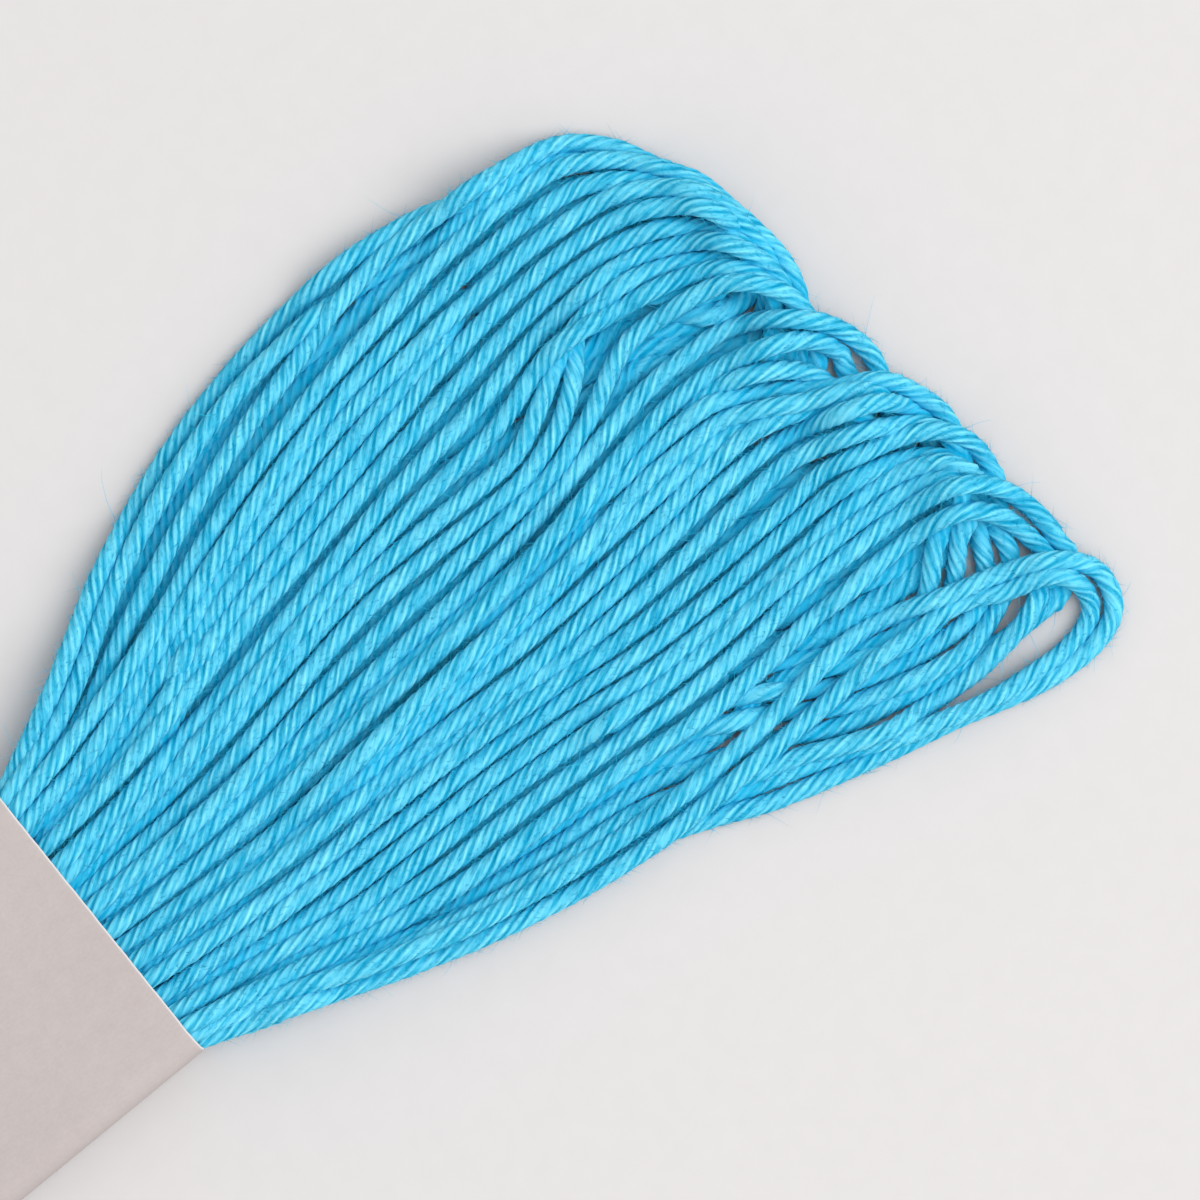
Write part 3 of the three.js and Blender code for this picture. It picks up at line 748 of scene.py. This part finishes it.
def fuzz_piece(name, tubes, short, long_, seed, pile):
    """Loose fibre ends standing out of the thread: short straight points and some longer, curved ones."""
    rng = np.random.RandomState(seed)
    line, side, up, tangent = (np.concatenate([t[2][k] for t in tubes]) for k in range(4))
    thick = np.concatenate([t[2][4] for t in tubes])
    gap = np.concatenate([np.gradient(t[1]) for t in tubes])
    chance = gap * (np.abs(line[:, 0] - BAND_MIDDLE[0]) > BAND_LENGTH / 2 + 0.5)
    mean_down, down = below(line, pile)
    chance *= np.where(down < thick + 0.15, 1.0, 0.06) * (1 - 0.9 * smooth((mean_down - thick) / 0.35))
    chance *= 1 + 2 * smooth((0.2 - mean_down) / 0.4)      # more where a strand stands free
    count = short + long_
    k = rng.choice(len(line), count, p=chance / chance.sum())
    a = rng.uniform(-0.25 * math.pi, 1.25 * math.pi, count)[:, None]
    out = np.cos(a) * side[k] + np.sin(a) * up[k]
    origin = line[k] + out * (thick[k] * 0.9)[:, None] + tangent[k] * rng.uniform(-0.2, 0.2, count)[:, None]
    along = tangent[k] * rng.choice([-1, 1], count)[:, None] + np.cross(tangent[k], out) * rng.uniform(-0.9, 0.9, count)[:, None]
    along /= np.linalg.norm(along, axis=1)[:, None]
    across = np.cross(along, out)
    is_long = (np.arange(count) >= short)[:, None]
    length = np.where(is_long, rng.gamma(3.0, 0.17, count)[:, None] + 0.3, rng.gamma(2.5, 0.09, count)[:, None] + 0.12)
    lift = 0.15 + 1.5 * rng.rand(count)[:, None] ** 1.6
    curl = np.where(is_long, rng.uniform(-0.5, 0.5, count)[:, None], 0.0)
    wide = rng.uniform(0.0075, 0.0115, count)[:, None]
    path = lambda f: origin + along * length * f + out * length * lift * f * (1.1 - 0.35 * f) + across * length * curl * f * f
    steps = [0.0, 0.35, 0.7, 1.0]
    points = [path(f) for f in steps]
    fine = np.array(points)[..., 2].min(0) > 0.02
    fine &= np.abs(points[-1][:, 0] - BAND_MIDDLE[0]) > BAND_LENGTH / 2 + 0.1
    rings = []
    for q, f in enumerate(steps[:-1]):
        d = points[q + 1] - points[max(q - 1, 0)]
        d /= np.linalg.norm(d, axis=1)[:, None]
        u = np.cross(d, across + 0.3 * out)
        u /= np.linalg.norm(u, axis=1)[:, None]
        w = np.cross(d, u)
        size = wide * (1 - 0.55 * f)
        rings.append([points[q] + size * (math.cos(b) * u + math.sin(b) * w) for b in (0, 2.0944, 4.1888)])
    is_long = is_long[:, 0]
    spikes = np.stack(rings[0] + [points[-1]], 1)[fine & ~is_long]
    curls = np.stack([p for ring in rings for p in ring] + [points[-1]], 1)[fine & is_long]
    spike_faces = np.array([(0, 2, 1), (0, 1, 3), (1, 2, 3), (2, 0, 3)])
    curl_faces = [(0, 2, 1)]
    for q in range(2):
        for b in range(3):
            c, e = 3 * q + b, 3 * q + (b + 1) % 3
            curl_faces += [(c, e, e + 3), (c, e + 3, c + 3)]
    curl_faces = np.array(curl_faces + [(6 + b, 6 + (b + 1) % 3, 9) for b in range(3)])
    first_curl = len(spikes) * 4
    tris = np.concatenate([(spike_faces[None] + (np.arange(len(spikes)) * 4)[:, None, None]).reshape(-1, 3),
                           first_curl + (curl_faces[None] + (np.arange(len(curls)) * 10)[:, None, None]).reshape(-1, 3)])
    shade = np.concatenate([np.repeat(rng.rand(len(spikes)), 4), np.repeat(rng.rand(len(curls)), 10)])
    return mesh_object(name, np.concatenate([spikes.reshape(-1, 3), curls.reshape(-1, 3)]), tris.ravel(),
                       np.arange(len(tris)) * 3, np.full(len(tris), 3), values=[("shade", shade)])


# ---- the band: one strip of paper wrapped round the waist, its ends lapped underneath
def band_piece():
    rng = np.random.RandomState(5)
    corner_high, corner_low = 1.0, 0.85
    h, top, low = BAND_HALF - PAPER / 2, BAND_HIGH - PAPER / 2, PAPER / 2 + 0.005

    def arc(cy, cz, r, a0, a1, n=9):
        a = np.radians(np.linspace(a0, a1, n))
        return np.stack([cy + r * np.cos(a), cz + r * np.sin(a)], 1)

    under = lambda y: low + LAP * smooth((y + 4.6) / 1.2)
    y_lap = np.linspace(-h + corner_low + 0.2, 3.2, 34)
    section = np.vstack([
        np.stack([np.linspace(-3.0, h - corner_low - 0.2, 30), np.full(30, low)], 1),
        arc(h - corner_low, low + corner_low, corner_low, -90, 0),
        arc(h - corner_high, top - corner_high, corner_high, 0, 90),
        np.stack([np.linspace(h - corner_high - 0.2, -h + corner_high + 0.2, 70), np.full(70, top)], 1),
        arc(-h + corner_high, top - corner_high, corner_high, 90, 180),
        arc(-h + corner_low, low + corner_low, corner_low, 180, 270),
        np.stack([y_lap, under(y_lap)], 1)])
    d = np.gradient(section, axis=0)
    d /= np.linalg.norm(d, axis=1)[:, None]
    normal = np.stack([d[:, 1], -d[:, 0]], 1)
    around = np.r_[0, np.cumsum(np.linalg.norm(np.diff(section, axis=0), axis=1))]
    x = np.unique(np.r_[-19, -18.97, -18.92, -18.8, np.linspace(-18.5, 18.5, 75), 18.8, 18.92, 18.97, 19])
    n, m = len(section), len(x)
    # the paper follows the rows of thread very slightly, and its cut edges are a little uneven
    soft = waves(rng, 1, (0.83 * 2, 3.1, 5.7), 1.0)
    run = waves(rng, 1, (9, 17, 31), 1.0)
    swell = 0.016 * soft(section[:, 0])[:, 0][:, None] * (1 + 0.5 * run(x)[:, 0])[None, :]
    swell += 0.018 * np.sin(section[:, 0] * 0.21 + 0.6)[:, None] * run(x + 40)[:, 0][None, :]
    flat = smooth((BAND_HALF - 1.2 - np.abs(section[:, 0])) / 1.0) * (section[:, 1] > 2)
    swell *= flat[:, None]
    from_edge = np.minimum(x + 19, 19 - x)
    crush = 0.45 * PAPER * (1 - smooth(from_edge / 0.07))
    X = np.broadcast_to(x, (n, m)).copy()
    rough = 0.012 * waves(rng, 1, (0.31, 0.9, 2.6), 1.0)(around)[:, 0]
    X += rough[:, None] * (np.sign(x) * (from_edge < 0.3))[None, :]
    X += 0.011 * section[:, 0][:, None] * np.clip(x / 19, 0, 1)[None, :]

    def layer(offset, pinch):
        off = (offset * (PAPER / 2 - pinch))[None, :] + swell
        y = section[:, 0][:, None] + normal[:, 0][:, None] * off
        z = section[:, 1][:, None] + normal[:, 1][:, None] * off
        return np.stack([X, y, z], -1)

    ones = np.ones(m)
    outer, inner = layer(ones, crush), layer(-ones, 0 * crush)
    verts = np.concatenate([outer.reshape(-1, 3), inner.reshape(-1, 3)]) + BAND_MIDDLE
    i = np.arange(n - 1)[:, None]
    j = np.arange(m - 1)[None, :]
    O = lambda a, b: (a * m + b)
    I = lambda a, b: (n * m + a * m + b)
    quads = [np.stack(np.broadcast_arrays(O(i, j), O(i, j + 1), O(i + 1, j + 1), O(i + 1, j)), -1).reshape(-1, 4),
             np.stack(np.broadcast_arrays(I(i, j), I(i + 1, j), I(i + 1, j + 1), I(i, j + 1)), -1).reshape(-1, 4)]
    a = np.arange(n - 1)
    b = np.arange(m - 1)
    quads += [np.stack([O(a, 0), O(a + 1, 0), I(a + 1, 0), I(a, 0)], 1),
              np.stack([O(a + 1, m - 1), O(a, m - 1), I(a, m - 1), I(a + 1, m - 1)], 1),
              np.stack([O(0, b + 1), O(0, b), I(0, b), I(0, b + 1)], 1),
              np.stack([O(n - 1, b), O(n - 1, b + 1), I(n - 1, b + 1), I(n - 1, b)], 1)]
    quads = np.concatenate(quads)
    # lighter along the two cut ends of the strip: partly the whiter cut paper itself, partly a painted highlight where
    # the crushed edge catches the light
    edge = 1 - smooth(from_edge / 0.075)
    edge = np.tile(np.broadcast_to(edge, (n, m)).ravel(), 2)
    flat_x = np.tile(X.ravel(), 2)
    flat_y = np.tile(np.repeat(around, m), 2)
    sheet_uv = np.stack([flat_x + 19, flat_y + np.repeat([0.0, 60.0], n * m)], 1)[quads.ravel()]
    piece = mesh_object("paper_band", verts, quads.ravel(), np.arange(len(quads)) * 4, np.full(len(quads), 4),
                        uvs=[("Sheet", sheet_uv)], values=[("edge", edge)])
    return piece, around[-1]


# ---- materials
def nodes_of(material):
    material.use_nodes = True
    tree = material.node_tree
    shader = tree.nodes["Principled BSDF"]

    def node(kind, inputs=(), **settings):
        made = tree.nodes.new(kind)
        for key, value in settings.items():
            setattr(made, key, value)
        for key, value in dict(inputs).items():
            if isinstance(value, bpy.types.NodeSocket):
                tree.links.new(value, made.inputs[key])
            else:
                made.inputs[key].default_value = value
        return made

    def blend(factor, a, b):
        made = node("ShaderNodeMix", data_type="RGBA")
        for socket, value in ((made.inputs[0], factor), (made.inputs[6], a), (made.inputs[7], b)):
            if isinstance(value, bpy.types.NodeSocket):
                tree.links.new(value, socket)
            else:
                socket.default_value = value
        return made.outputs[2]

    def sum_of(*terms):
        """value * factor for each term, added up; a plain number is added as it is"""
        total = None
        for term in terms:
            if not isinstance(term, tuple):
                term = (None, term)
            value, factor = term
            if value is None:
                made = node("ShaderNodeMath", {0: total, 1: factor}, operation="ADD")
            elif total is None:
                made = node("ShaderNodeMath", {0: value, 1: factor}, operation="MULTIPLY")
            else:
                made = node("ShaderNodeMath", {0: value, 1: factor, 2: total}, operation="MULTIPLY_ADD")
            total = made.outputs[0]
        return total

    return tree, shader, node, blend, sum_of


def thread_material():
    material = bpy.data.materials.new("cotton_thread")
    tree, shader, node, blend, sum_of = nodes_of(material)
    uv = node("ShaderNodeUVMap", uv_map="Strand").outputs["UV"]
    around = node("ShaderNodeSeparateXYZ", {"Vector": uv}).outputs["Y"]

    def streaks(along, around, detail, rough=0.55):
        stretched = node("ShaderNodeMapping", {"Vector": uv, "Scale": (along, around, 1)}).outputs["Vector"]
        return node("ShaderNodeTexNoise", {"Vector": stretched, "Scale": 1.0, "Detail": detail, "Roughness": rough},
                    noise_dimensions="2D").outputs["Fac"]

    fibres = streaks(1.3, 15, 2.5, 0.75)
    plies = streaks(0.55, 6, 0.0)
    slow = streaks(0.06, 0.7, 1.0)
    shift = sum_of((streaks(0.9, 3, 0.0), 1.8), -0.9)
    strength = sum_of((streaks(0.9, 5, 0.0), 1.4), -0.2)
    phase = node("ShaderNodeMath", {0: around, 1: 2 * math.pi * PLIES, 2: shift}, operation="MULTIPLY_ADD").outputs[0]
    ridge = node("ShaderNodeMath", {0: phase}, operation="COSINE").outputs[0]
    deep = node("ShaderNodeAttribute", attribute_name="deep").outputs["Fac"]
    stroke = node("ShaderNodeMath", {0: ridge, 1: strength}, operation="MULTIPLY").outputs[0]
    # the stroke term is painted highlight and shade: it lightens the ply ridges and darkens the grooves between them;
    # plies, fibres and slow are the thread's own uneven tone
    tone = sum_of((stroke, 0.28), (plies, 0.36), (fibres, 0.70), (slow, 0.24), -0.195)
    ramp = node("ShaderNodeValToRGB", {"Fac": tone})
    ramp.color_ramp.interpolation = "B_SPLINE"
    stops = ramp.color_ramp.elements
    stops[0].position, stops[0].color = 0.0, (0.001, 0.18, 0.35, 1)
    stops[1].position, stops[1].color = 1.0, (0.26, 0.77, 0.88, 1)
    low = stops.new(0.22)
    low.color = (0.005, 0.30, 0.50, 1)
    middle = stops.new(0.5)
    middle.color = (0.070, 0.46, 0.665, 1)
    # painted shade: by the deep attribute the colour is mixed towards a deep, pure blue between and below the strands
    through = node("ShaderNodeMath", {0: deep, 1: 0.60}, operation="MULTIPLY").outputs[0]
    colour = blend(through, ramp.outputs["Color"], (0.003, 0.415, 0.69, 1))
    tree.links.new(colour, shader.inputs["Base Color"])
    roughness = sum_of((fibres, 0.25), (ridge, -0.04), 0.68)
    tree.links.new(roughness, shader.inputs["Roughness"])
    height = sum_of((stroke, 0.7), (fibres, 0.40))
    bump = node("ShaderNodeBump", {"Height": height, "Strength": 0.8, "Distance": 0.05 * MM})
    tree.links.new(bump.outputs["Normal"], shader.inputs["Normal"])
    shader.inputs["Specular IOR Level"].default_value = 0.02
    shader.inputs["Sheen Weight"].default_value = 0.02
    shader.inputs["Sheen Roughness"].default_value = 0.45
    shader.inputs["Sheen Tint"].default_value = (0.25, 0.80, 1.0, 1)
    return material


def fuzz_material():
    material = bpy.data.materials.new("cotton_fuzz")
    tree, shader, node, blend, sum_of = nodes_of(material)
    shade = node("ShaderNodeAttribute", attribute_name="shade").outputs["Fac"]
    tree.links.new(blend(shade, (0.006, 0.40, 0.64, 1), (0.050, 0.58, 0.82, 1)), shader.inputs["Base Color"])
    shader.inputs["Roughness"].default_value = 0.8
    shader.inputs["Specular IOR Level"].default_value = 0.05
    return material


def paper_material():
    material = bpy.data.materials.new("band_paper")
    tree, shader, node, blend, sum_of = nodes_of(material)
    uv = node("ShaderNodeUVMap", uv_map="Sheet").outputs["UV"]
    edge = node("ShaderNodeAttribute", attribute_name="edge").outputs["Fac"]
    noise = lambda scale, detail, rough=0.5: node(
        "ShaderNodeTexNoise", {"Vector": uv, "Scale": scale, "Detail": detail, "Roughness": rough},
        noise_dimensions="2D").outputs["Fac"]
    grain, pulp, cloud = noise(7.0, 2.0, 0.7), noise(1.6, 3.0), noise(0.11, 2.0)
    long_ = node("ShaderNodeMapping", {"Vector": uv, "Scale": (2.2, 9.0, 1)}).outputs["Vector"]
    fibre = node("ShaderNodeTexNoise", {"Vector": long_, "Scale": 1.0, "Detail": 3.0, "Distortion": 0.6},
                 noise_dimensions="2D").outputs["Fac"]
    tone = sum_of((grain, 0.5), (pulp, 0.35), (cloud, 0.35), (fibre, 0.35), -0.275)
    sheet = blend(tone, (0.363, 0.318, 0.308, 1), (0.437, 0.397, 0.394, 1))
    # the lighter cut edge: the whiter cut paper, partly a painted highlight
    cut = blend(edge, sheet, (0.66, 0.645, 0.64, 1))
    tree.links.new(cut, shader.inputs["Base Color"])
    tree.links.new(sum_of((grain, 0.15), 0.78), shader.inputs["Roughness"])
    bump = node("ShaderNodeBump", {"Height": sum_of((grain, 0.5), (fibre, 0.6), (pulp, 0.5)), "Strength": 0.35, "Distance": 0.02 * MM})
    tree.links.new(bump.outputs["Normal"], shader.inputs["Normal"])
    shader.inputs["Specular IOR Level"].default_value = 0.2
    return material


def floor_material():
    material = bpy.data.materials.new("pale_floor")
    tree, shader, node, blend, sum_of = nodes_of(material)
    where = node("ShaderNodeTexCoord").outputs["Object"]
    speck = node("ShaderNodeTexNoise", {"Vector": where, "Scale": 900.0, "Detail": 2.0}).outputs["Fac"]
    tree.links.new(blend(speck, (0.530, 0.517, 0.520, 1), (0.553, 0.540, 0.543, 1)), shader.inputs["Base Color"])
    shader.inputs["Roughness"].default_value = 0.9
    shader.inputs["Specular IOR Level"].default_value = 0.1
    return material


# ---- making the pieces
first = settle(first_fan(), lean(np.array(FIRST_LEFT) * UNIT), lean(np.array(FIRST_RIGHT) * UNIT))
second = settle(second_fan(), lean(SECOND_SIDES[:, [0, 1]]), lean(SECOND_SIDES[:, [0, 2]]))
rng = np.random.RandomState(23)
tubes = {1: [], -1: []}
for i, (P, grip) in enumerate(first):
    ends = [DEEP, DEEP]
    if i == 0:
        ends[0] = -BAND_LENGTH + 8
    if i == COUNT - 1:
        ends[1] = -BAND_LENGTH + 8
    tubes[1].append(tube(P, grip, rng, tuple(ends)))
for P, grip in second:
    tubes[-1].append(tube(P, grip, rng))
for side in tubes:
    for ring, s, (line, across, up, t, thick) in tubes[side]:
        flat = ring.reshape(-1, 3)
        flat[:] = to_skein(flat, side)
        line[:] = to_skein(line, side)
        for v in (across, up, t):
            v[:, :2] *= side

cotton, fuzz, paper = thread_material(), fuzz_material(), paper_material()
pieces = []
offset = 0.0
for side, label in ((1, "first"), (-1, "second")):
    pile = pile_height(tubes[side])
    groups = np.array_split(np.arange(len(tubes[side])), 3)
    for k, group in enumerate(groups):
        piece, offset = thread_piece(f"thread_{label}_{k + 1}", [tubes[side][i] for i in group], offset, pile)
        piece.data.materials.append(cotton)
        pieces.append(piece)
    hairs = fuzz_piece(f"fuzz_{label}", tubes[side], 43000, 1500, 31 + side, pile)
    hairs.data.materials.append(fuzz)
    pieces.append(hairs)
for piece in pieces:
    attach(piece, "root")
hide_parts("skein")

band, strip_length = band_piece()
band.data.materials.append(paper)
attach(band, "root")
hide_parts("band")

# ---- stage, light and camera
bpy.ops.mesh.primitive_plane_add(size=3.0, location=(0, 0, 0))
floor = bpy.context.active_object
floor.name = "floor"
floor.data.materials.append(floor_material())

world = bpy.data.worlds.new("studio")
bpy.context.scene.world = world
world.use_nodes = True
world.node_tree.nodes["Background"].inputs["Color"].default_value = (1.0, 0.995, 0.99, 1)
world.node_tree.nodes["Background"].inputs["Strength"].default_value = 0.90


def lamp(name, place, size, energy, colour=(1, 1, 1)):
    data = bpy.data.lights.new(name, "AREA")
    data.shape = "DISK"
    data.size = size
    data.energy = energy
    data.color = colour
    thing = bpy.data.objects.new(name, data)
    bpy.context.scene.collection.objects.link(thing)
    thing.location = place
    aim = np.array([0.04, 0, 0]) - np.array(place)
    thing.rotation_mode = "QUATERNION"
    from mathutils import Vector
    thing.rotation_quaternion = Vector(aim).to_track_quat("-Z", "Y")
    thing.visible_camera = False
    return thing


lamp("key", (0.28, -0.20, 0.48), 0.60, 3.0, (1.0, 0.99, 0.98))

VIEW_WIDTH = 48.0
LENS, SENSOR = 200.0, 36.0
camera_data = bpy.data.cameras.new("camera")
camera_data.lens = LENS
camera_data.sensor_width = SENSOR
camera_data.sensor_fit = "HORIZONTAL"
camera_data.clip_start, camera_data.clip_end = 0.01, 10
camera = bpy.data.objects.new("camera", camera_data)
bpy.context.scene.collection.objects.link(camera)
camera.location = ((42.51 + BAND_MIDDLE[0]) * MM, (-2.895 + BAND_MIDDLE[1]) * MM, (1.6 + VIEW_WIDTH * LENS / SENSOR) * MM)
camera.rotation_euler = (0, 0, math.radians(-39.4))
bpy.context.scene.camera = camera
bpy.context.scene.view_settings.view_transform = "Standard"
